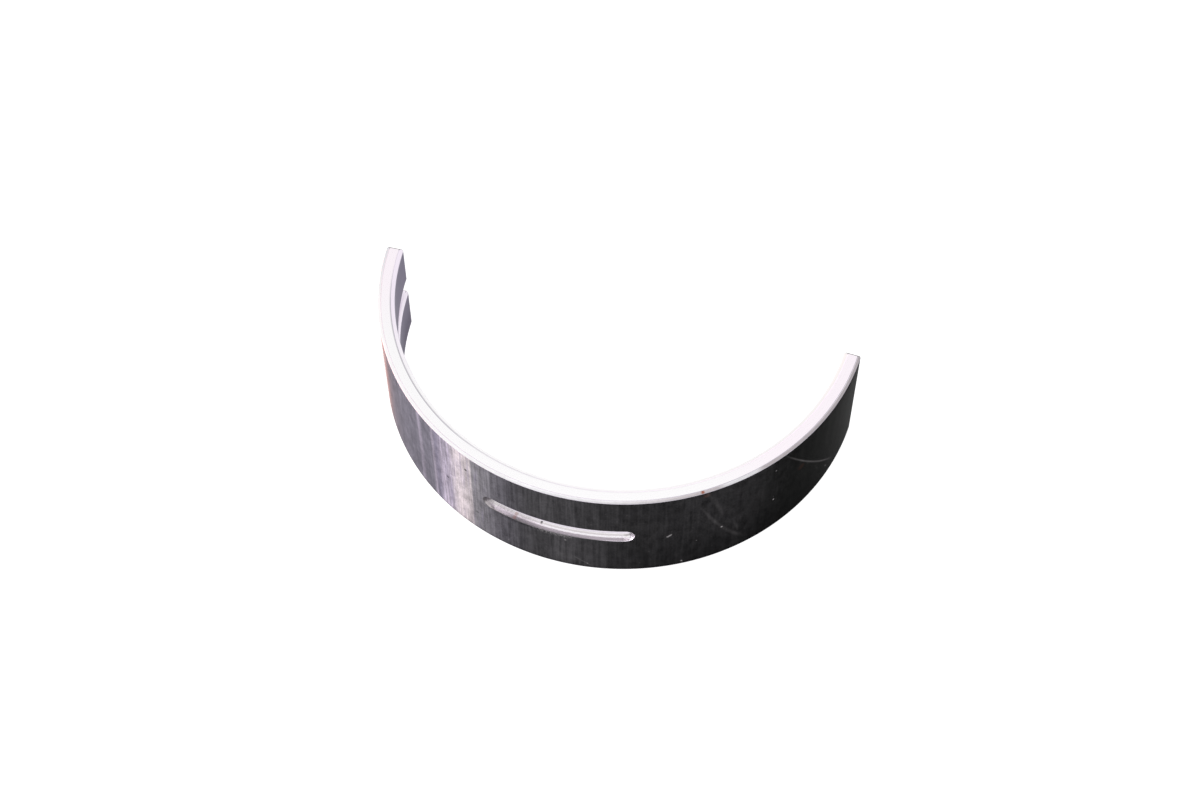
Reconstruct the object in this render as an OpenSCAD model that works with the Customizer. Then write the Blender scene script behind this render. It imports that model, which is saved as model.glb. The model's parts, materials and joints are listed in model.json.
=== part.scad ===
// Upper half shell of an engine main bearing, in its free state.
// The bearing axis is Z, with the origin on that axis at mid-width.
// The crown of the arc points to -Y and the two parting faces look to +Y.
// The shell stands on one of its side faces, with the axis upright.

/* [Shell] */
// Bore of the housing that the closed shell fills
housing_d = 70; // [50:0.5:100]
// Wall thickness, from the back to the bore
wall = 2.5; // [2:0.05:4]
// Width along the bearing axis, between the two side faces
width = 19; // [14:0.1:32]
// Arc of the free shell in degrees: it springs open, so it is under 180
free_arc = 175; // [166:0.5:180]

/* [Edges] */
// Chamfer of the back's rims, measured across the side face
back_rim_cut = 0.45; // [0.1:0.05:0.6]
// Chamfer of the back's rims, measured along the back
back_rim_drop = 0.2; // [0.1:0.05:0.6]
// Chamfer of the bore's rims, measured across the side face
bore_rim_cut = 0.6; // [0.1:0.05:0.9]
// Chamfer of the bore's rims, measured along the bore
bore_rim_drop = 0.35; // [0.1:0.05:0.9]
// Chamfer on the outer edges of the parting faces
parting_break = 0.2; // [0.1:0.05:0.4]

/* [Oil groove] */
// Width of the groove between its side walls
groove_w = 3; // [2:0.1:5]
// Depth of the groove below the bore
groove_depth = 1.2; // [0.6:0.05:1.5]
// Chamfer where the groove's side walls meet the bore
groove_break = 0.35; // [0.1:0.05:0.5]
// Distance of the groove and the slot from mid-width
groove_shift = 0.3; // [-2:0.1:2]

/* [Oil slot] */
// Width of the slot through the crown
slot_w = 2.7; // [1.5:0.1:3.5]
// Length of the slot round the back, with its round ends
slot_len = 22.8; // [8:0.1:36]

/* [Hidden] */
// Fineness of round shapes
$fn = 360;
// The outer arc keeps the length of the half circle that it closes to
back_r = housing_d / 2 * 180 / free_arc;
bore_r = back_r - wall;
groove_r = bore_r + groove_depth;
side_z = width / 2;
groove_top = groove_shift + groove_w / 2;
groove_foot = groove_shift - groove_w / 2;
// Directions of the crown and of the two parting faces
crown_deg = -90;
first_deg = crown_deg - free_arc / 2;
last_deg = crown_deg + free_arc / 2;
// Angle from the crown to the centre of each round slot end
slot_half_deg = (slot_len - slot_w) / 2 / back_r * 180 / PI;
// Overrun of the slot's cut past the bore and the back
overrun = wall / 4;

// Section of the wall in radius and height, with the groove open to the bore
module wall_section() {
    polygon([
        [bore_r + bore_rim_cut, -side_z],
        [back_r - back_rim_cut, -side_z],
        [back_r, -side_z + back_rim_drop],
        [back_r, side_z - back_rim_drop],
        [back_r - back_rim_cut, side_z],
        [bore_r + bore_rim_cut, side_z],
        [bore_r, side_z - bore_rim_drop],
        [bore_r, groove_top + groove_break],
        [bore_r + groove_break, groove_top],
        [groove_r, groove_top],
        [groove_r, groove_foot],
        [bore_r + groove_break, groove_foot],
        [bore_r, groove_foot - groove_break],
        [bore_r, -side_z + bore_rim_drop]
    ]);
}

// Section swept round the free arc, which leaves radial parting faces
module grooved_arc() {
    rotate([0, 0, first_deg])
        rotate_extrude(angle = free_arc)
            wall_section();
}

// Bars along the outer edges of a parting face, set outwards so that they only cut a chamfer
module parting_bars(turn, outwards) {
    bar = 4 * parting_break;
    shift = bar / sqrt(8) - parting_break / 2;
    rotate([0, 0, turn])
        translate([0, outwards * shift, 0]) {
            for (edge_r = [bore_r - shift, back_r + shift])
                translate([edge_r, 0, 0])
                    rotate([0, 0, 45])
                        cube([bar, bar, 2 * width], center = true);
            for (edge_z = [-side_z - shift, side_z + shift])
                translate([bore_r + wall / 2, 0, edge_z])
                    rotate([45, 0, 0])
                        cube([2 * wall, bar, bar], center = true);
        }
}

// Round end of the slot, cut along the radius at an angle from the crown
module slot_end(turn) {
    rotate([0, 0, crown_deg + turn])
        translate([bore_r - overrun, 0, groove_shift])
            rotate([0, 90, 0])
                cylinder(d = slot_w, h = wall + 2 * overrun);
}

// Slot round the crown, from the back through to the groove
module oil_slot() {
    rotate([0, 0, crown_deg - slot_half_deg])
        rotate_extrude(angle = 2 * slot_half_deg)
            translate([bore_r - overrun, groove_shift - slot_w / 2])
                square([wall + 2 * overrun, slot_w]);
    for (turn = [-slot_half_deg, slot_half_deg])
        slot_end(turn);
}

module bearing_shell() {
    color([0.29, 0.28, 0.3])
        difference() {
            grooved_arc();
            oil_slot();
            parting_bars(first_deg, -1);
            parting_bars(last_deg, 1);
        }
}

bearing_shell();
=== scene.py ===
"""Half shell of an engine main bearing: its surfaces, finishes and studio."""

import json
import math
from collections import namedtuple

import bmesh
import bpy
from bpy.props import FloatProperty, FloatVectorProperty, IntProperty, PointerProperty
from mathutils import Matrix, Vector


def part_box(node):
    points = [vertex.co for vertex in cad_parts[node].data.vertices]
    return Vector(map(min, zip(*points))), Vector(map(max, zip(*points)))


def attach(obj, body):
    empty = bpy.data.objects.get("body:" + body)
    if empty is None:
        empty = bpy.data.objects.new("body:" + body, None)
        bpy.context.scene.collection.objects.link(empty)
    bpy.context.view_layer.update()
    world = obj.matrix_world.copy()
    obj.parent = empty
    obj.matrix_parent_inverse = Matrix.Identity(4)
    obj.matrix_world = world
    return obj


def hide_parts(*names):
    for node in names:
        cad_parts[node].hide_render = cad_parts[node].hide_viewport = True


bl_info = {
    "name": "Bearing Half Shell",
    "version": (1, 0, 0),
    "blender": (4, 5, 0),
    "location": "3D View > Sidebar > Bearing",
    "description": "Models an engine bearing half shell and sets it in a pale studio",
    "category": "Add Mesh",
}

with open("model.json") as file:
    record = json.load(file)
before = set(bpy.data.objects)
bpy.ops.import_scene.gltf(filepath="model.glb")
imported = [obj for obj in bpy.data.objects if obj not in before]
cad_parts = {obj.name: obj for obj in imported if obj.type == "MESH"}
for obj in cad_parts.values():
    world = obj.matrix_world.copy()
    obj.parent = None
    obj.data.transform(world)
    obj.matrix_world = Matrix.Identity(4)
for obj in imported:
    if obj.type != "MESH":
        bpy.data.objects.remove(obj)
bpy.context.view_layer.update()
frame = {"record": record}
NODE = "bearing_shell"
MM = 0.001
WHITE = (1, 1, 1)

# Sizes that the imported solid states, in metres and radians
MOUNTS = {mount["name"]: mount for mount in frame["record"]["mounts"]}
LOW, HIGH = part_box(NODE)
BACK_RADIUS = -LOW.y
BORE_RADIUS = MOUNTS["journal_bore"]["dims"]["r_mm"] * MM
BORE_LENGTH = MOUNTS["journal_bore"]["dims"]["length_mm"] * MM
WIDTH = HIGH.z - LOW.z
FREE_ARC = math.pi - 2 * math.asin(abs(MOUNTS["left_parting_face"]["axis"][0]))
GROOVE_SHIFT = MOUNTS["oil_feed_slot"]["pos_m"][2]

# Marks on the back in millimetres: along from the crown, height from mid-width
Scratch = namedtuple("Scratch", "along height reach slope bow half_width weight")
Speck = namedtuple("Speck", "along height size weight")
SCRATCHES = [
    Scratch(41.0, 0.1, 7.4, -1.24, 0.02, 0.25, 0.24),
    Scratch(24.4, -1.9, 4.6, -1.75, 0.1, 0.5, 0.08),
    Scratch(23.7, 3.8, 1.1, -3.1, 0.0, 0.6, 0.06),
    Scratch(22.1, 7.9, 0.7, -2.0, 0.0, 0.5, 0.05),
    Scratch(26.6, -2.8, 0.6, -3.0, 0.0, 0.4, 0.05),
    Scratch(3.95, -7.65, 1.6, -0.78, 0.0, 0.2, 0.2),
    Scratch(1.6, -6.9, 1.8, -0.4, 0.0, 1.3, 0.06),
    Scratch(16.45, -0.5, 0.42, 0.8, 0.0, 0.26, 1.0),
]
LIGHT_SPECKS = [
    Speck(24.3, -1.8, 0.22, 1.0),
    Speck(16.1, -0.7, 0.16, 0.9),
    Speck(4.7, -8.2, 0.18, 0.6),
    Speck(18.4, -8.5, 0.2, 1.0),
    Speck(33.0, -1.4, 0.2, 1.0),
    Speck(32.9, 6.6, 0.16, 0.7),
    Speck(45.1, -6.4, 0.18, 0.8),
    Speck(42.4, -3.4, 0.14, 0.3),
    Speck(20.5, -3.5, 0.12, 0.4),
    Speck(1.5, -2.4, 0.2, 0.7),
    Speck(-7.4, -7.9, 0.15, 0.5),
]
DARK_SPECKS = [
    Speck(-14.3, 5.5, 0.32, 0.95),
    Speck(-18.2, -0.7, 0.38, 0.7),
    Speck(-12.7, -4.6, 0.4, 0.45),
]
RUST_STAINS = [
    Speck(21.6, 8.6, 0.7, 0.12),
    Speck(38.2, 2.1, 0.9, 0.07),
]

# Patches across the narrow surfaces, in millimetres: they fade from the reach in to the core
Patch = namedtuple("Patch", "along reach core weight")
RIM_RUST = Patch(21.05, 0.4, 0.0, 1.0)
SLOT_RUST = Patch(-6.4, 0.4, 0.1, 0.6)
SLOT_PIT = Patch(-2.4, 0.25, 0.05, 1.0)

# Bands along the axis on the back, in millimetres along from the crown, with the blur of each side: they
# paint the reflected light band on the left of the back into its colour
Band = namedtuple("Band", "start start_blur end end_blur tone weight streaky")
BANDS = [
    Band(-70.0, 1.0, -8.0, 5.0, "satin", 1.0, 0.0),
    Band(-15.0, 1.0, -10.0, 3.4, "sheen", 1.0, 0.2),
    Band(-20.8, 0.2, -19.4, 0.6, "violet", 0.35, 0.0),
    Band(-19.7, 0.7, -15.0, 1.0, "lavender", 1.0, 0.5),
    Band(-17.0, 0.9, -13.4, 0.3, "burnish", 1.0, 0.25),
    Band(-21.35, 0.3, -20.8, 0.25, "lavender", 0.75, 0.2),
    Band(-24.75, 0.3, -23.9, 0.4, "lavender", 0.5, 0.2),
]

# Tint that dulls a metal's reflections at grazing angles
BACK_GRAZING = (0.45, 0.45, 0.45)
LINING_GRAZING = (0.5, 0.48, 0.54)
EDGE_GRAZING = (0.5, 0.5, 0.5)

# Turn of the brushed back's highlights, as a part of a full turn, that smears them along the axis
ALONG_AXIS = 0.25

# Bright cards that only show as reflections: bearings in degrees from X, height in metres
Card = namedtuple("Card", "name start end height radiance tint")
CARDS = [
    Card("bright_strip", -132.8, -140.5, 0.22, 12.0, (1.0, 0.95, 0.96)),
    Card("left_card", -140.5, -180.0, 0.22, 5.0, (0.95, 0.93, 1.0)),
    Card("warm_strip", -181.5, -191.5, 0.1, 88.0, (1.0, 0.51, 0.34)),
]


def length(name, description, default):
    """A length for the panel, in metres."""
    return FloatProperty(name=name, description=description, default=default, unit="LENGTH", precision=5)


def angle(name, description, default):
    """An angle for the panel, kept in radians."""
    return FloatProperty(name=name, description=description, default=default, subtype="ANGLE")


def level(name, description, default, unit="NONE"):
    """A plain number for the panel."""
    return FloatProperty(name=name, description=description, default=default, unit=unit)


def colour(name, description, default):
    """A linear colour for the panel."""
    return FloatVectorProperty(
        name=name, description=description, default=default, subtype="COLOR", min=0, max=1
    )


class ShellSizes(bpy.types.PropertyGroup):
    """Sizes of the half shell in its free state"""

    back_radius: length("Back radius", "Free radius of the back", BACK_RADIUS)
    bore_radius: length("Bore radius", "Free radius of the bore", BORE_RADIUS)
    width: length("Width", "Distance between the side faces", WIDTH)
    bore_length: length("Bore length", "Bore between its rim chamfers", BORE_LENGTH)
    free_arc: angle("Free arc", "Arc from one parting face to the other", FREE_ARC)
    back_rim_cut: length("Back rim cut", "Back rim chamfer across the side face", 0.45 * MM)
    back_rim_drop: length("Back rim drop", "Back rim chamfer along the back", 0.2 * MM)
    bore_rim_cut: length("Bore rim cut", "Bore rim chamfer across the side face", 0.6 * MM)
    groove_width: length("Groove width", "Oil groove between its side walls", 3.0 * MM)
    groove_depth: length("Groove depth", "Oil groove below the bore", 1.2 * MM)
    groove_break: length("Groove break", "Chamfer on the groove's edges", 0.35 * MM)
    groove_shift: length("Groove shift", "Groove and slot from mid-width", GROOVE_SHIFT)
    slot_width: length("Slot width", "Oil slot through the crown", 2.7 * MM)
    slot_length: length("Slot length", "Oil slot round the back", 22.8 * MM)
    parting_break: length("Parting break", "Chamfer on the parting faces' outer edges", 0.2 * MM)
    edge_round: length("Edge rounding", "Radius that tumbling leaves on the edges", 0.05 * MM)
    slices: IntProperty(name="Slices", description="Facets round the arc", default=232, min=24)


class ShellFinish(bpy.types.PropertyGroup):
    """Colours of the half shell's surfaces"""

    back: colour("Back", "Dark steel at the crown", (0.069, 0.066, 0.071))
    # The next two colours: painted shade that darkens the right of the back; the second also colours dark
    # specks and the slot's pit
    dusk: colour("Dusk", "Darker steel on the right of the back", (0.0275, 0.0265, 0.028))
    stain: colour("Stain", "Darkest steel, at the right end", (0.0105, 0.0105, 0.0105))
    # The next five colours paint the reflected light band on the left of the back, and its streaks, into
    # the steel
    satin: colour("Satin", "Rubbed steel on the left of the back", (0.176, 0.165, 0.196))
    sheen: colour("Sheen", "Rubbed steel between the burnished band and the crown", (0.25, 0.238, 0.258))
    lavender: colour("Lavender", "Streaky steel beside the burnished band", (0.44, 0.388, 0.468))
    burnish: colour("Burnish", "Burnished band on the left of the back", (0.525, 0.47, 0.485))
    violet: colour("Violet", "Tempered streaks in the burnished band", (0.3, 0.265, 0.36))
    scuff: colour("Scuff", "Bare steel in scratches and nicks", (0.36, 0.34, 0.35))
    side: colour("Side", "Machined side faces", (0.94, 0.93, 0.94))
    blush: colour("Blush", "Side faces towards both ends", (0.955, 0.885, 0.94))
    seam: colour("Seam", "Fine line where the side face meets the bore's rim", (0.28, 0.27, 0.3))
    # The next three colours: painted shade on the right of the back's chamfers, and painted reflection at
    # the crown and the left end
    back_rim: colour("Back rim", "Chamfers beside the back, on the right", (0.42, 0.385, 0.4))
    pale_rim: colour("Pale rim", "Chamfers beside the back, at the crown", (0.655, 0.65, 0.67))
    end_rim: colour("End rim", "Chamfers beside the back, at the left end", (0.76, 0.755, 0.79))
    bore_rim: colour("Bore rim", "Chamfers beside the bore", (0.9, 0.825, 0.925))
    lining: colour("Lining", "Bearing lining in the bore", (0.225, 0.212, 0.258))
    groove: colour("Groove", "Turned oil groove", (0.9, 0.84, 0.92))
    slot: colour("Slot", "Milled oil slot", (0.93, 0.88, 0.9))
    # Also the painted shadow in the slot's left tip, and the dark line on edges at both ends
    slot_edge: colour("Slot edge", "Dull steel at the slot's outer edge", (0.19, 0.18, 0.19))
    parting: colour("Parting", "Broached parting faces", (0.52, 0.5, 0.52))
    rust: colour("Rust", "Rust specks", (0.34, 0.1, 0.045))
    edge: colour("Edge", "Worn edges", (0.5, 0.47, 0.53))


class Studio(bpy.types.PropertyGroup):
    """Camera, floor and lamps"""

    azimuth: angle("Azimuth", "Camera to the right of the crown", math.radians(15.86))
    elevation: angle("Elevation", "Camera above the horizon", math.radians(57.22))
    distance: length("Distance", "Camera from the point that it aims at", 356.65 * MM)
    aim: FloatVectorProperty(
        name="Aim",
        description="Point in the middle of the picture",
        default=(-2.01 * MM, -5.49 * MM, -12.54 * MM),
        unit="LENGTH",
    )
    lens: level("Lens", "Focal length", 69.71, "CAMERA")
    sensor: level("Sensor", "Width of the camera's sensor", 36.0, "CAMERA")
    floor: colour("Floor", "Pale floor", (0.6, 0.6, 0.6))
    floor_side: length("Floor side", "Side of the square floor", 4.0)
    floor_glow: level("Floor glow", "Lifts the floor to white as seen", 0.76)
    sky_level: level("Sky level", "Soft light from all round", 0.6)
    lamp_power: level("Lamp power", "Softbox overhead", 1.0, "POWER")
    lamp_height: length("Lamp height", "Softbox above the shell's middle", 0.8)
    lamp_side: length("Lamp side", "Side of the square softbox", 0.4)
    card_distance: length("Card distance", "Reflected cards from the bearing axis", 0.5)


class Socket:
    """An output of a node; arithmetic on it adds Math nodes."""

    def __init__(self, finish, output):
        self.finish = finish
        self.output = output

    def other(self, name):
        """Another output of the same node."""
        return Socket(self.finish, self.output.node.outputs[name])

    def __add__(self, other):
        return self.finish.math("ADD", self, other)

    def __radd__(self, other):
        return self.finish.math("ADD", other, self)

    def __sub__(self, other):
        return self.finish.math("SUBTRACT", self, other)

    def __rsub__(self, other):
        return self.finish.math("SUBTRACT", other, self)

    def __mul__(self, other):
        return self.finish.math("MULTIPLY", self, other)

    def __rmul__(self, other):
        return self.finish.math("MULTIPLY", other, self)

    def __truediv__(self, other):
        return self.finish.math("DIVIDE", self, other)

    def __abs__(self):
        return self.finish.math("ABSOLUTE", self)


class Wiring:
    """A node tree that is filled by code."""

    def __init__(self, tree):
        self.tree = tree
        self.tree.nodes.clear()

    def node(self, kind, settings=None, sockets=None, output=0):
        """Add a node of any kind, set it up, join its sockets and return one output."""
        node = self.tree.nodes.new(kind)
        for name, value in (settings or {}).items():
            setattr(node, name, value)
        for name, value in (sockets or {}).items():
            self.join(node.inputs[name], value)
        return Socket(self, node.outputs[output]) if node.outputs else None

    def join(self, entry, value):
        """Link a socket, or set a plain value on it."""
        if isinstance(value, Socket):
            self.tree.links.new(value.output, entry)
        elif entry.type == "RGBA":
            entry.default_value = (*value[:3], 1.0)
        else:
            entry.default_value = value

    def math(self, operation, first, second=0.0):
        """One Math node."""
        return self.node("ShaderNodeMath", {"operation": operation}, {0: first, 1: second})

    def seen(self):
        """One on what the camera, a mirror or a glass shows, and nought on what lights the object."""
        path = self.node("ShaderNodeLightPath", output="Is Camera Ray")
        straight = self.math("MAXIMUM", path, path.other("Is Glossy Ray"))
        return self.math("MAXIMUM", straight, path.other("Is Transmission Ray"))


class Finish(Wiring):
    """A material of the shell, placed in millimetres along the back, up the axis and out from it."""

    # Part of a mark's reach that has its full strength
    CORE = 0.4

    # Millimetres over which a stretch ends
    BLUR = 0.1

    def __init__(self, name, sizes):
        self.material = bpy.data.materials.new(name)
        self.material.use_nodes = True
        super().__init__(self.material.node_tree)
        point = self.node("ShaderNodeTexCoord", output="Object")
        across = self.node("ShaderNodeSeparateXYZ", sockets={"Vector": point})
        ahead = across.other("Y")
        self.along = self.math("ARCTAN2", across, 0 - ahead) * (sizes.back_radius / MM)
        self.height = across.other("Z") / MM
        self.radius = self.math("SQRT", across * across + ahead * ahead) / MM

    def fade(self, value, start, end):
        """From 0 at start to 1 at end, smoothly."""
        ends = {"Value": value, "From Min": start, "From Max": end}
        return self.node("ShaderNodeMapRange", {"interpolation_type": "SMOOTHSTEP"}, ends)

    def run(self, start, end):
        """From 0 at one place along the back to 1 at another."""
        return self.fade(self.along, start, end)

    def around(self, value, place, start, end):
        """From 0 at one distance from a place to 1 at another, the same on both sides of it."""
        return self.fade(abs(value - place), start, end)

    def within(self, value, place, reach):
        """One up to a reach on both sides of a place, and nought beyond it."""
        return self.around(value, place, reach + self.BLUR, reach)

    def grain(self, along=0.0, height=0.0, radius=0.0, detail=3.0):
        """Noise from 0 to 1, with its fineness in cycles per millimetre along each way."""
        axes = {"X": self.along * along, "Y": self.height * height, "Z": self.radius * radius}
        vector = self.node("ShaderNodeCombineXYZ", sockets=axes)
        return self.node("ShaderNodeTexNoise", sockets={"Vector": vector, "Scale": 1.0, "Detail": detail})

    def blend(self, factor, first, second):
        """Mix of two colours."""
        sockets = {"Factor": factor, 6: first, 7: second}
        return self.node("ShaderNodeMix", {"data_type": "RGBA", "clamp_factor": True}, sockets, output=2)

    def shade(self, tone, amount):
        """A colour made lighter or darker."""
        return self.node("ShaderNodeVectorMath", {"operation": "SCALE"}, {0: tone, "Scale": amount})

    def band(self, mark):
        """One between the two sides of a band along the axis."""
        rise = self.run(mark.start - mark.start_blur, mark.start + mark.start_blur)
        fall = self.run(mark.end - mark.end_blur, mark.end + mark.end_blur)
        return (rise - fall) * mark.weight

    def scratch(self, mark):
        """One where a bowed scratch runs, fading at its ends."""
        step = self.along - mark.along
        line = step * mark.slope + step * step * mark.bow + mark.height
        gap = abs(self.height - line) / math.hypot(1.0, mark.slope)
        ends = self.fade(abs(step), mark.reach, mark.reach * self.CORE)
        return self.fade(gap, mark.half_width, 0.0) * ends * mark.weight

    def speck(self, mark):
        """One in a round speck of the size given."""
        step = self.along - mark.along
        rise = self.height - mark.height
        gap = self.math("SQRT", step * step + rise * rise)
        return self.fade(gap, mark.size, mark.size * self.CORE) * mark.weight

    def patch(self, mark):
        """One in a patch that goes right across a narrow surface."""
        return self.around(self.along, mark.along, mark.reach, mark.core) * mark.weight

    def strongest(self, masks):
        """The strongest of several masks."""
        total = masks[0]
        for mask in masks[1:]:
            total = self.math("MAXIMUM", total, mask)
        return total

    def specks(self, marks):
        """One in any of several round specks."""
        return self.strongest([self.speck(mark) for mark in marks])

    def bump(self, height, depth):
        """Normal of fine relief, with its depth in millimetres."""
        sockets = {"Height": height, "Strength": 1.0, "Distance": depth * MM}
        return self.node("ShaderNodeBump", sockets=sockets)

    def surface(self, sockets):
        """Close the material with one shader."""
        shader = self.node("ShaderNodeBsdfPrincipled", sockets=sockets)
        self.node("ShaderNodeOutputMaterial", sockets={"Surface": shader})
        return self.material


def swing(noise, depth):
    """Noise that swings about nought, by the depth given."""
    return (noise - 0.5) * depth


def banded_steel(finish, tones, streaks, tint_zone):
    """Tones of the back, from its right end, darkened by painted shade, to its left end, lit by painted
    reflection bands with violet streaks.
    """
    # Painted shade darkens the back from the crown to its right end
    crown = finish.run(13.0, -2.0)
    right_end = finish.run(25.0, 38.0)
    steel = finish.blend(crown, tones.dusk, tones.back)
    steel = finish.blend(right_end, steel, tones.stain)
    for band in BANDS:
        mask = finish.band(band) * (1.0 - band.streaky + band.streaky * streaks)
        steel = finish.blend(mask, steel, getattr(tones, band.tone))
    # Violet streaks, painted into the reflection band
    violet_grain = finish.grain(along=2.2, height=0.12)
    violet_streaks = finish.fade(violet_grain, 0.5, 0.7) * tint_zone * 0.5
    return finish.blend(violet_streaks, steel, tones.violet)


def back_light(finish, side, below_slot, right):
    """Part of its tone that the back keeps under painted shade: darker towards its foot, lower on the
    right, and a painted shadow below the slot.
    """
    foot = finish.fade(finish.height, -side - 0.3, 1.2 - side)
    gloom = finish.fade(finish.height, 3.0, -side) * right
    shaded = finish.around(finish.along, -5.5, 4.5, 3.0)
    shaded = shaded * finish.around(finish.height, below_slot, 0.9, 0.2)
    return (0.5 + 0.5 * foot) * (1.0 - 0.45 * gloom) * (1.0 - 0.35 * shaded)


def back_scuffs(finish, below_slot, mottle, speckle):
    """Where bare steel shows on the back: scratches, nicks, dust and the burr below the slot."""
    scratches = finish.strongest([finish.scratch(mark) for mark in SCRATCHES]) * (0.3 + mottle)
    nicks = finish.specks(LIGHT_SPECKS)
    grit = finish.grain(along=1.6, height=1.0)
    dust = finish.fade(grit, 0.66, 0.8) * 0.1
    burr = finish.around(finish.along, -0.5, 4.0, 1.5) * finish.fade(speckle, 0.4, 0.62)
    burr = burr * finish.around(finish.height, below_slot, 1.0, 0.1) * 0.6
    return finish.strongest([scratches, nicks, dust, burr])


def dark_back(sizes, tones):
    """Dark steel back, brushed along the axis, with painted reflection bands on its left, painted shade
    on its right, scratches and nicks.
    """
    finish = Finish("dark_back", sizes)
    side = sizes.width / MM / 2
    below_slot = (sizes.groove_shift - sizes.slot_width / 2) / MM
    fine = finish.grain(along=3.0, height=0.09, detail=4.0)
    broad = finish.grain(along=0.6, height=0.05)
    fibre = finish.grain(along=5.0, height=0.2, detail=2.0)
    mottle = finish.grain(along=0.8, height=0.55, detail=6.0)
    speckle = finish.grain(along=4.0, height=2.5, detail=2.0)
    polish = finish.grain(along=1.0, height=0.05)
    streaks = finish.fade(fine * 0.6 + broad * 0.4, 0.4, 0.66)
    right = finish.run(4.0, 24.0)
    left = finish.run(-9.0, -14.0)
    # Stretch of the painted reflection band, where fibre shows more and violet streaks are painted
    tint_zone = finish.run(-21.5, -19.5) * finish.run(-9.0, -13.0)
    brushed = swing(streaks, 0.52 - 0.22 * right - 0.22 * left) + swing(fibre, 0.35 + 0.55 * tint_zone)
    clouds = swing(mottle, 1.0 + 0.4 * right) + swing(speckle, 0.8 + 0.4 * right)
    light = back_light(finish, side, below_slot, right)
    scuffs = back_scuffs(finish, below_slot, mottle, speckle)
    steel = banded_steel(finish, tones, streaks, tint_zone)
    steel = finish.shade(steel, (1.0 + brushed + clouds) * light)
    steel = finish.blend(scuffs, steel, tones.scuff)
    steel = finish.blend(finish.specks(DARK_SPECKS), steel, tones.stain)
    steel = finish.blend(finish.specks(RUST_STAINS) * mottle, steel, tones.rust)
    return finish.surface({
        "Base Color": steel,
        "Metallic": 1.0,
        "Specular Tint": BACK_GRAZING,
        "Roughness": 0.28 + 0.06 * polish + 0.2 * scuffs,
        "Anisotropic": 1.0,
        "Anisotropic Rotation": ALONG_AXIS,
        "Normal": finish.bump(fine, depth=0.001),
    })


def bright_side(sizes, tones):
    """Machined side faces, with the fine line beside the bore's rim."""
    finish = Finish("bright_side", sizes)
    rings = finish.grain(along=0.02, radius=6.0, detail=2.0)
    beyond_rim = 0.06
    seam_radius = (sizes.bore_radius + sizes.bore_rim_cut) / MM + beyond_rim
    line = finish.around(finish.radius, seam_radius, 0.16, 0.03)
    deep = finish.run(-54.0, -40.0) * finish.run(-12.0, -20.0)
    right = finish.run(-44.0, -20.0)
    dwindling = finish.run(60.0, -10.0)
    seam = line * (0.05 + 0.11 * right + 0.46 * deep) * dwindling
    both_ends = finish.around(finish.along, -8.0, 28.0, 44.0)
    steel = finish.blend(both_ends, tones.side, tones.blush)
    steel = finish.shade(steel, 1.0 - 0.05 * rings)
    steel = finish.blend(seam, steel, tones.seam)
    return finish.surface({
        "Base Color": steel,
        "Metallic": 1.0,
        "Roughness": 0.2 + 0.08 * rings,
        "Normal": finish.bump(rings, depth=0.0005),
    })


def back_rim(sizes, tones):
    """Turned chamfers beside the back, grey on the right and pale towards the crown and the left end as
    painted reflection, with a painted glint, and a rust speck on the upper one.
    """
    finish = Finish("back_rim", sizes)
    rings = finish.grain(along=0.6, height=3.0, radius=4.0)
    rust = finish.patch(RIM_RUST) * finish.fade(finish.height, 0.0, 1.0)
    # Painted reflection: pale from the crown leftwards, a painted glint near the right, whiter still
    # further left
    bright = finish.run(24.0, -6.0)
    glint = finish.around(finish.along, 27.0, 4.0, 2.0) * 0.9
    gloss_and_reflection = finish.run(1.0, -15.0)
    left_end = finish.run(-44.0, -54.0)
    top = (sizes.back_radius - sizes.back_rim_cut) / MM
    tint_zone = finish.fade(finish.radius, top + 0.12, top + 0.04) * finish.run(34.0, 48.0)
    steel = finish.blend(finish.strongest([bright, glint]), tones.back_rim, tones.pale_rim)
    steel = finish.blend(gloss_and_reflection, steel, tones.side)
    steel = finish.blend(left_end, steel, tones.end_rim)
    steel = finish.shade(steel, 1.0 + swing(rings, 0.4 - 0.3 * gloss_and_reflection))
    steel = finish.blend(tint_zone, steel, tones.blush)
    steel = finish.blend(rust, steel, tones.rust)
    return finish.surface({
        "Base Color": steel,
        "Metallic": 1.0 - 0.7 * rust,
        "Roughness": 0.32 + 0.12 * rings - 0.22 * gloss_and_reflection,
    })


def bore_rim(sizes, tones):
    """Turned chamfers beside the bore, lavender at the left end and white further right, dimmer towards
    the right: painted reflection and shade.
    """
    finish = Finish("bore_rim", sizes)
    rings = finish.grain(along=0.03, height=3.0, radius=4.0)
    right = finish.run(-46.0, -26.0)
    dim = finish.run(-40.0, 30.0)
    steel = finish.blend(right, tones.bore_rim, tones.side)
    return finish.surface({
        "Base Color": finish.shade(steel, 1.04 - 0.1 * rings - 0.08 * dim),
        "Metallic": 1.0,
        "Roughness": 0.3 + 0.12 * rings,
    })


def bore_lining(sizes, tones):
    """Grey lining of the bore, with fine boring lines, and painted shade that darkens it towards the
    bottom and away from its left end.
    """
    finish = Finish("bore_lining", sizes)
    lines = finish.grain(along=0.02, height=5.0)
    clouds = finish.grain(along=0.12, height=0.2)
    dim = finish.run(-46.0, -36.0)
    low = finish.fade(finish.height, -2.5, -7.5)
    return finish.surface({
        "Base Color": finish.shade(tones.lining, 0.8 + 0.4 * clouds - 0.2 * dim - 0.3 * low),
        "Metallic": 1.0,
        "Specular Tint": LINING_GRAZING,
        "Roughness": 0.32 + 0.14 * lines,
        "Normal": finish.bump(lines, depth=0.001),
    })


def turned_groove(sizes, tones):
    """Oil groove, with turning lines along it."""
    finish = Finish("turned_groove", sizes)
    lines = finish.grain(along=0.03, height=4.0, radius=4.0)
    return finish.surface({
        "Base Color": finish.shade(tones.groove, 1.05 - 0.2 * lines),
        "Metallic": 1.0,
        "Roughness": 0.38 + 0.14 * lines,
    })


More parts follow.
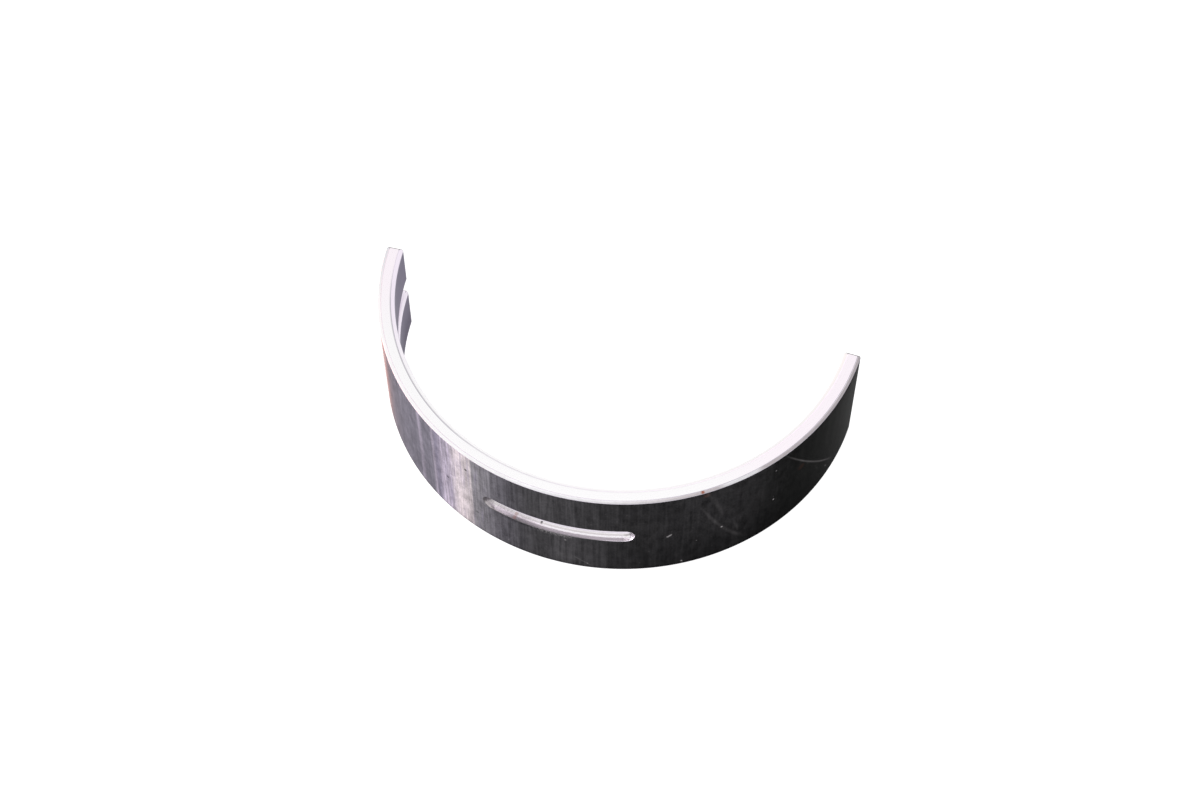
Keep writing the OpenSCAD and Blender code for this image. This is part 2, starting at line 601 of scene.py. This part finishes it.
def milled_slot(sizes, tones):
    """Oil slot, with milling lines along it, a darker outer edge, stripes of painted highlight and shade
    down its walls, painted shade in its tips, a rust patch and a pit.
    """
    finish = Finish("milled_slot", sizes)
    back = sizes.back_radius / MM
    floor = (sizes.bore_radius + sizes.groove_depth) / MM
    half = sizes.slot_length / MM / 2
    depth = back - finish.radius
    lines = finish.grain(along=0.08, radius=7.0)
    mottle = finish.grain(along=2.0, radius=2.5, detail=4.0)
    chatter = finish.grain(along=6.0, radius=0.7, detail=2.0)

    # Stretches of the slot, and stripes down its walls that paint a highlight line between shaded bands
    clean = finish.run(-6.0, -1.0)
    left_tip = finish.run(1.6 - half, 0.8 - half)
    right_tip = finish.run(half - 1.8, half - 1.0)
    # Painted shadow in the slot's left tip
    shaded_tip = finish.fade(finish.along + 0.6 * mottle - 0.3 * depth, 0.65 - half, 0.25 - half)
    dark_edge_run = finish.run(6.0, 1.0) * finish.run(-10.0, -7.0)
    edge = finish.fade(finish.radius + 0.5 * mottle, back - 0.1, back + 0.3) * dark_edge_run * 0.7
    lip = finish.fade(finish.radius + 0.15 * mottle, back - 0.6, back - 0.4) * (1.0 - right_tip)
    lip = lip * (0.1 + 0.62 * finish.run(-8.2, -6.0))
    inner = finish.fade(depth, 0.75, 0.9) * finish.fade(finish.radius, floor, floor + 0.2)
    deep = finish.fade(finish.radius, back - 0.5, floor)

    # Steel, cleaner to the right, with painted highlight and shade in its stripes and tips
    stripes = 1.22 - lip - (0.25 + 0.25 * clean) * inner - 0.2 * left_tip - 0.2 * right_tip
    milling = (0.15 + 0.15 * clean) * lines
    dirt = (0.65 - 0.45 * clean) * mottle + (0.4 - 0.3 * clean) * chatter
    steel = finish.shade(tones.slot, stripes * (0.08 + 0.69 * clean + milling + dirt))
    steel = finish.blend(finish.strongest([edge, shaded_tip]), steel, tones.slot_edge)
    steel = finish.blend(finish.patch(SLOT_RUST) * mottle, steel, tones.rust)
    steel = finish.blend(finish.patch(SLOT_PIT) * deep, steel, tones.stain)
    return finish.surface({
        "Base Color": steel,
        "Metallic": 1.0,
        "Roughness": 0.12 + 0.08 * lines + 0.08 * mottle + 0.25 * left_tip + 0.1 * right_tip,
    })


def broached_parting(sizes, tones):
    """Parting faces, broached straight across the wall."""
    finish = Finish("broached_parting", sizes)
    lines = finish.grain(height=5.0, radius=0.1)
    return finish.surface({
        "Base Color": finish.shade(tones.parting, 1.0 - 0.2 * lines),
        "Metallic": 1.0,
        "Roughness": 0.34 + 0.12 * lines,
        "Normal": finish.bump(lines, depth=0.002),
    })


def worn_edge(sizes, tones):
    """Rounded edges, dulled by handling."""
    finish = Finish("worn_edge", sizes)
    wear = finish.grain(along=0.8, height=0.8, radius=0.8)
    middle = (sizes.back_radius + sizes.bore_radius) / MM / 2
    end = sizes.back_radius * sizes.free_arc / MM / 2
    groove_mid = sizes.groove_shift / MM
    groove_reach = (sizes.groove_width / 2 + sizes.groove_break) / MM + 0.1
    slot_margin = 0.2
    slot_half_width = sizes.slot_width / MM / 2
    slot_half_length = sizes.slot_length / MM / 2

    # Which edge it is
    inner = finish.fade(finish.radius, middle + 0.2, middle - 0.2)
    outer = 1.0 - inner
    in_groove = finish.within(finish.height, groove_mid, groove_reach)
    slot_side = finish.within(finish.height, groove_mid, slot_half_width + slot_margin)
    slot_end = finish.within(finish.along, 0.0, slot_half_length + slot_margin)
    slot_rim_dark = slot_side * slot_end * outer * finish.run(9.0, 5.0)
    at_end = finish.around(finish.along, 0.0, end - 0.5, end - 0.3)

    # Steel, paler beside the bore and at the crown as painted reflection, like the rims
    inner_pale = inner * (finish.run(-30.0, 20.0) + 0.5 * finish.run(-45.0, -52.0))
    outer_pale = outer * 0.3 * finish.run(22.0, 4.0)
    steel = finish.shade(tones.edge, 0.7 + 0.6 * wear)
    steel = finish.blend(inner_pale + outer_pale, steel, tones.bore_rim)
    steel = finish.blend(in_groove, steel, tones.groove)
    steel = finish.blend(slot_rim_dark, steel, tones.slot_edge)
    steel = finish.blend(at_end, steel, tones.slot_edge)
    return finish.surface({
        "Base Color": steel,
        "Metallic": 1.0,
        "Specular Tint": EDGE_GRAZING,
        "Roughness": 0.5 + 0.2 * wear,
    })


ZONES = {
    "back": dark_back,
    "side": bright_side,
    "back_rim": back_rim,
    "bore_rim": bore_rim,
    "lining": bore_lining,
    "groove": turned_groove,
    "slot": milled_slot,
    "parting": broached_parting,
    "edge": worn_edge,
}


class Strip:
    """The flat strip that the shell is bent from, in millimetres.

    X runs along it, the back lies at Y = 0 and the bore at Y = wall, and Z is the bearing axis.
    """

    # Points nearer to a cut than this lie on it
    TOUCH = 0.0001

    # Slack and least part of a normal with which a face is told from its neighbours
    SLACK = 0.01
    FACING = 0.99

    # Rounds of the slot's ends, just short of half its width so that they don't meet
    SLOT_ROUND = 0.4995
    SLOT_ROUND_STEPS = 14

    # Edges that the tumbling rounds, and the steps of the rounding
    SHARP = math.radians(15)
    EDGE_ROUND_STEPS = 2

    # Pull of the flat faces on the smooth shading, in the modifier's own units
    FLAT_PULL = 100

    def __init__(self, sizes):
        self.back_radius = sizes.back_radius / MM
        self.wall = (sizes.back_radius - sizes.bore_radius) / MM
        self.side = sizes.width / MM / 2
        self.arc = sizes.free_arc
        self.end = self.back_radius * self.arc / 2
        self.back_cut = sizes.back_rim_cut / MM
        self.back_drop = sizes.back_rim_drop / MM
        self.bore_cut = sizes.bore_rim_cut / MM
        self.bore_drop = (sizes.width - sizes.bore_length) / MM / 2
        self.groove_mid = sizes.groove_shift / MM
        self.groove_half = sizes.groove_width / MM / 2
        self.groove_floor = self.wall - sizes.groove_depth / MM
        self.groove_break = sizes.groove_break / MM
        self.slot_width = sizes.slot_width / MM
        self.slot_length = sizes.slot_length / MM
        self.parting_break = sizes.parting_break / MM
        self.edge_round = sizes.edge_round / MM
        self.slices = sizes.slices

    def choose(self, kind, test):
        """Select only the faces or edges that pass a test, in edit mode."""
        bpy.ops.mesh.select_mode(type={"faces": "FACE", "edges": "EDGE"}[kind])
        bpy.ops.mesh.select_all(action="DESELECT")
        mesh = bpy.context.edit_object.data
        shape = bmesh.from_edit_mesh(mesh)
        for item in getattr(shape, kind):
            item.select_set(bool(test(item)))
        shape.select_flush_mode()
        bmesh.update_edit_mesh(mesh)

    def cut(self, point, normal):
        """Slice the selected faces along a plane."""
        bpy.ops.mesh.bisect(plane_co=point, plane_no=normal, threshold=self.TOUCH)

    def slice_off(self, test, point, normal):
        """Cut the faces that pass a test along a plane, and delete what lies beyond it."""
        self.choose("faces", test)
        self.cut(point, normal)
        self.choose(
            "faces",
            lambda face: test(face) and (face.calc_center_median() - Vector(point)).dot(normal) > 0,
        )
        bpy.ops.mesh.delete(type="FACE")

    def trim(self, test, corner_y, corner_z, along_y, along_z):
        """Chamfer one corner of the section, going from the corner by the two steps given."""
        normal = Vector((0, along_z, along_y)) * math.copysign(1, -along_y * along_z)
        self.slice_off(test, (0, corner_y + along_y, corner_z), normal)

    def draw_section(self):
        """Wall section as one face at the strip's left end, with its groove and chamfers."""
        bpy.ops.mesh.primitive_plane_add(size=1)
        bpy.ops.object.mode_set(mode="EDIT")
        bpy.ops.transform.resize(value=(2 * self.side, self.wall, 1))
        bpy.ops.transform.rotate(value=math.pi / 2, orient_axis="Y", center_override=(0, 0, 0))
        bpy.ops.transform.translate(value=(-self.end, self.wall / 2, 0))
        for up in (1, -1):
            self.choose("faces", lambda face: True)
            self.cut((0, 0, self.groove_mid + up * self.groove_half), (0, 0, 1))
        self.slice_off(
            lambda face: abs(face.calc_center_median().z - self.groove_mid) < self.groove_half,
            (0, self.groove_floor, 0),
            (0, 1, 0),
        )
        for up in (1, -1):
            edge = self.groove_mid + up * self.groove_half

            def beside(face):
                return (face.calc_center_median().z - edge) * up > 0

            self.trim(beside, self.wall, edge, -self.groove_break, up * self.groove_break)
            self.trim(beside, 0, up * self.side, self.back_cut, -up * self.back_drop)
            self.trim(beside, self.wall, up * self.side, -self.bore_cut, -up * self.bore_drop)
        self.choose("faces", lambda face: True)
        bpy.ops.mesh.dissolve_limited(angle_limit=math.radians(1))

    def draw_out(self):
        """Section drawn out to the strip's length."""
        self.choose("faces", lambda face: True)
        bpy.ops.mesh.extrude_region_move(TRANSFORM_OT_translate={"value": (2 * self.end, 0, 0)})
        self.break_ends()
        bpy.ops.mesh.select_all(action="SELECT")
        bpy.ops.mesh.normals_make_consistent(inside=False)
        bpy.ops.object.mode_set(mode="OBJECT")

    def break_ends(self):
        """Chamfers on the outer edges of both parting faces."""
        for side in (1, -1):
            corner = Vector((side * (self.end - self.parting_break), 0, 0))
            for start, away in (
                ((0, 0, self.side), (0, 0, 1)),
                ((0, 0, -self.side), (0, 0, -1)),
                ((0, self.wall, 0), (0, 1, 0)),
                ((0, 0, 0), (0, -1, 0)),
            ):
                bpy.ops.mesh.select_all(action="SELECT")
                normal = Vector(away) + Vector((side, 0, 0))
                bpy.ops.mesh.bisect(
                    plane_co=corner + Vector(start),
                    plane_no=normal,
                    use_fill=True,
                    clear_outer=True,
                    threshold=self.TOUCH,
                )

    def punch_slot(self, strip):
        """Slot with round ends, cut through the strip."""
        bpy.ops.object.select_all(action="DESELECT")
        bpy.ops.mesh.primitive_cube_add(size=1)
        punch = bpy.context.object
        bpy.ops.object.mode_set(mode="EDIT")
        bpy.ops.transform.resize(value=(self.slot_length, 2 * self.wall, self.slot_width))
        bpy.ops.transform.translate(value=(0, self.wall / 2, self.groove_mid))
        self.choose("edges", lambda edge: abs(edge.verts[0].co.y - edge.verts[1].co.y) > self.wall)
        bpy.ops.mesh.bevel(
            offset=self.slot_width * self.SLOT_ROUND,
            segments=self.SLOT_ROUND_STEPS,
            affect="EDGES",
        )
        bpy.ops.object.mode_set(mode="OBJECT")
        bpy.ops.object.select_all(action="DESELECT")
        strip.select_set(True)
        bpy.context.view_layer.objects.active = strip
        modifier = strip.modifiers.new("slot", "BOOLEAN")
        modifier.operation = "DIFFERENCE"
        modifier.solver = "EXACT"
        modifier.object = punch
        bpy.ops.object.modifier_apply(modifier=modifier.name)
        bpy.data.objects.remove(punch)

    def zone(self, face):
        """Name of the surface that a face of the flat strip belongs to."""
        middle = face.calc_center_median()
        normal = face.normal
        from_groove = abs(middle.z - self.groove_mid)
        in_slot_width = from_groove < self.slot_width / 2 + self.SLACK
        in_slot_length = abs(middle.x) < self.slot_length / 2
        if abs(middle.x) > self.end - self.parting_break:
            return "parting" if abs(normal.x) > self.FACING else "edge"
        if normal.y < -self.FACING and middle.y < self.SLACK:
            return "back"
        if abs(normal.z) > self.FACING and abs(middle.z) > self.side - self.SLACK:
            return "side"
        if abs(normal.y) < 1 - self.FACING and in_slot_width and in_slot_length:
            return "slot"
        if from_groove < self.groove_half + self.groove_break:
            return "groove"
        if normal.y > self.FACING:
            return "lining"
        return "back_rim" if normal.y < 0 else "bore_rim"

    def paint(self, strip, materials):
        """Give each surface its own material."""
        bpy.ops.object.mode_set(mode="EDIT")
        for index, (name, material) in enumerate(materials.items()):
            strip.data.materials.append(material)
            strip.active_material_index = index
            self.choose("faces", lambda face: self.zone(face) == name)
            bpy.ops.object.material_slot_assign()

    def soften(self):
        """Round every edge a little, then slice the strip so that it bends smoothly."""
        bpy.ops.mesh.select_mode(type="EDGE")
        bpy.ops.mesh.select_all(action="DESELECT")
        bpy.ops.mesh.edges_select_sharp(sharpness=self.SHARP)
        bpy.ops.mesh.bevel(
            offset=self.edge_round,
            segments=self.EDGE_ROUND_STEPS,
            affect="EDGES",
            clamp_overlap=True,
            material=list(ZONES).index("edge"),
        )
        for step in range(1, self.slices):
            bpy.ops.mesh.select_all(action="SELECT")
            self.cut((self.end * (2 * step / self.slices - 1), 0, 0), (1, 0, 0))
        bpy.ops.object.mode_set(mode="OBJECT")

    def bend(self, strip):
        """Bend the strip round the bearing axis, at its real size in metres."""
        modifier = strip.modifiers.new("bend", "SIMPLE_DEFORM")
        modifier.deform_method = "BEND"
        modifier.deform_axis = "Z"
        modifier.angle = self.arc
        bpy.ops.object.modifier_apply(modifier=modifier.name)
        strip.location = (0, -self.back_radius * MM, 0)
        strip.scale = (MM, MM, MM)
        bpy.ops.object.transform_apply(location=True, rotation=True, scale=True)
        bpy.ops.object.shade_smooth()
        modifier = strip.modifiers.new("flat_faces_lead", "WEIGHTED_NORMAL")
        modifier.weight = self.FLAT_PULL
        bpy.ops.object.modifier_apply(modifier=modifier.name)


class BEARING_OT_half_shell(bpy.types.Operator):
    """Model the half shell as a grooved and slotted strip, bent round the bearing axis"""

    bl_idname = "bearing.half_shell"
    bl_label = "Half Shell"
    bl_options = {"REGISTER", "UNDO"}

    def execute(self, context):
        sizes = context.scene.bearing_sizes
        tones = context.scene.bearing_finish
        materials = {name: make(sizes, tones) for name, make in ZONES.items()}
        strip = Strip(sizes)
        bpy.ops.object.select_all(action="DESELECT")
        strip.draw_section()
        piece = context.edit_object
        piece.name = piece.data.name = "half_shell"
        strip.draw_out()
        strip.punch_slot(piece)
        strip.paint(piece, materials)
        strip.soften()
        strip.bend(piece)
        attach(piece, "root")
        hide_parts(NODE)
        return {"FINISHED"}


class BEARING_OT_studio(bpy.types.Operator):
    """Set up the camera, the pale floor and the lamps"""

    bl_idname = "bearing.studio"
    bl_label = "Studio"
    bl_options = {"REGISTER", "UNDO"}

    def execute(self, context):
        studio = context.scene.bearing_studio
        context.scene.view_settings.view_transform = "Standard"
        self.place_camera(context, studio)
        self.lay_floor(studio)
        self.light_sky(context, studio)
        self.hang_softbox(context, studio)
        for card in CARDS:
            self.stand_card(context, studio, card)
        return {"FINISHED"}

    def place_camera(self, context, studio):
        """Camera at the angle from which the shell is seen, from above and over its crown."""
        data = bpy.data.cameras.new("camera")
        data.sensor_width = studio.sensor
        data.lens = studio.lens
        camera = bpy.data.objects.new("camera", data)
        context.scene.collection.objects.link(camera)
        flat = math.cos(studio.elevation)
        right = math.sin(studio.azimuth) * flat
        ahead = -math.cos(studio.azimuth) * flat
        away = Vector((right, ahead, math.sin(studio.elevation)))
        camera.location = Vector(studio.aim) + studio.distance * away
        camera.rotation_euler = away.to_track_quat("Z", "Y").to_euler()
        context.scene.camera = camera

    def lay_floor(self, studio):
        """Pale floor under the side face that the shell stands on."""
        bpy.ops.object.select_all(action="DESELECT")
        bpy.ops.mesh.primitive_plane_add(size=studio.floor_side, location=(0, 0, LOW.z))
        floor = bpy.context.object
        floor.name = "floor"
        material = bpy.data.materials.new("pale_floor")
        material.use_nodes = True
        wiring = Wiring(material.node_tree)
        glow = {"Color": WHITE, "Strength": studio.floor_glow}
        matt = wiring.node("ShaderNodeBsdfDiffuse", sockets={"Color": studio.floor})
        glowing = wiring.node("ShaderNodeEmission", sockets=glow)
        lifted = wiring.node("ShaderNodeAddShader", sockets={0: matt, 1: glowing})
        shown = wiring.node("ShaderNodeMixShader", sockets={0: wiring.seen(), 1: matt, 2: lifted})
        wiring.node("ShaderNodeOutputMaterial", sockets={"Surface": shown})
        floor.data.materials.append(material)

    def light_sky(self, context, studio):
        """White surroundings that light the shell softly."""
        world = bpy.data.worlds.new("studio")
        world.use_nodes = True
        wiring = Wiring(world.node_tree)
        soft, white = (
            wiring.node("ShaderNodeBackground", sockets={"Color": WHITE, "Strength": strength})
            for strength in (studio.sky_level, 1.0)
        )
        shown = wiring.node("ShaderNodeMixShader", sockets={0: wiring.seen(), 1: soft, 2: white})
        wiring.node("ShaderNodeOutputWorld", sockets={"Surface": shown})
        context.scene.world = world

    def add_lamp(self, context, name, place, width, height, power, tint):
        """A rectangular lamp that looks at the shell."""
        data = bpy.data.lights.new(name, "AREA")
        data.shape = "RECTANGLE"
        data.size = width
        data.size_y = height
        data.energy = power
        data.color = tint
        lamp = bpy.data.objects.new(name, data)
        lamp.location = place
        lamp.rotation_euler = place.to_track_quat("Z", "Y").to_euler()
        lamp.visible_camera = False
        context.scene.collection.objects.link(lamp)
        return lamp

    def hang_softbox(self, context, studio):
        """Softbox straight overhead."""
        place = Vector((0, 0, studio.lamp_height))
        side = studio.lamp_side
        self.add_lamp(context, "softbox", place, side, side, studio.lamp_power, WHITE)

    def stand_card(self, context, studio, card):
        """Tall bright card that only shows as a reflection, from one bearing to another."""
        bearing = math.radians((card.start + card.end) / 2)
        half_angle = math.radians(abs(card.end - card.start)) / 2
        width = 2 * studio.card_distance * math.tan(half_angle)
        place = Vector((math.cos(bearing), math.sin(bearing), 0)) * studio.card_distance
        place.z = card.height / 2
        power = card.radiance * math.pi * width * card.height
        lamp = self.add_lamp(context, card.name, place, width, card.height, power, card.tint)
        lamp.visible_diffuse = False


class BEARING_PT_panel(bpy.types.Panel):
    """Bearing shell tools"""

    bl_idname = "BEARING_PT_panel"
    bl_label = "Bearing Half Shell"
    bl_space_type = "VIEW_3D"
    bl_region_type = "UI"
    bl_category = "Bearing"

    def draw(self, context):
        scene = context.scene
        for kind in (BEARING_OT_half_shell, BEARING_OT_studio):
            self.layout.operator(kind.bl_idname)
        for group in (scene.bearing_sizes, scene.bearing_finish, scene.bearing_studio):
            box = self.layout.box()
            for name in group.__annotations__:
                box.prop(group, name)


CLASSES = [
    ShellSizes,
    ShellFinish,
    Studio,
    BEARING_OT_half_shell,
    BEARING_OT_studio,
    BEARING_PT_panel,
]


def register():
    """Add the classes to Blender, and their values to the scene."""
    for kind in CLASSES:
        bpy.utils.register_class(kind)
    bpy.types.Scene.bearing_sizes = PointerProperty(type=ShellSizes)
    bpy.types.Scene.bearing_finish = PointerProperty(type=ShellFinish)
    bpy.types.Scene.bearing_studio = PointerProperty(type=Studio)


def unregister():
    """Take the values and the classes away again."""
    del bpy.types.Scene.bearing_studio
    del bpy.types.Scene.bearing_finish
    del bpy.types.Scene.bearing_sizes
    for kind in reversed(CLASSES):
        bpy.utils.unregister_class(kind)


def main():
    """Model the shell and set up the studio."""
    register()
    bpy.ops.bearing.half_shell()
    bpy.ops.bearing.studio()


if __name__ == "__main__":
    main()
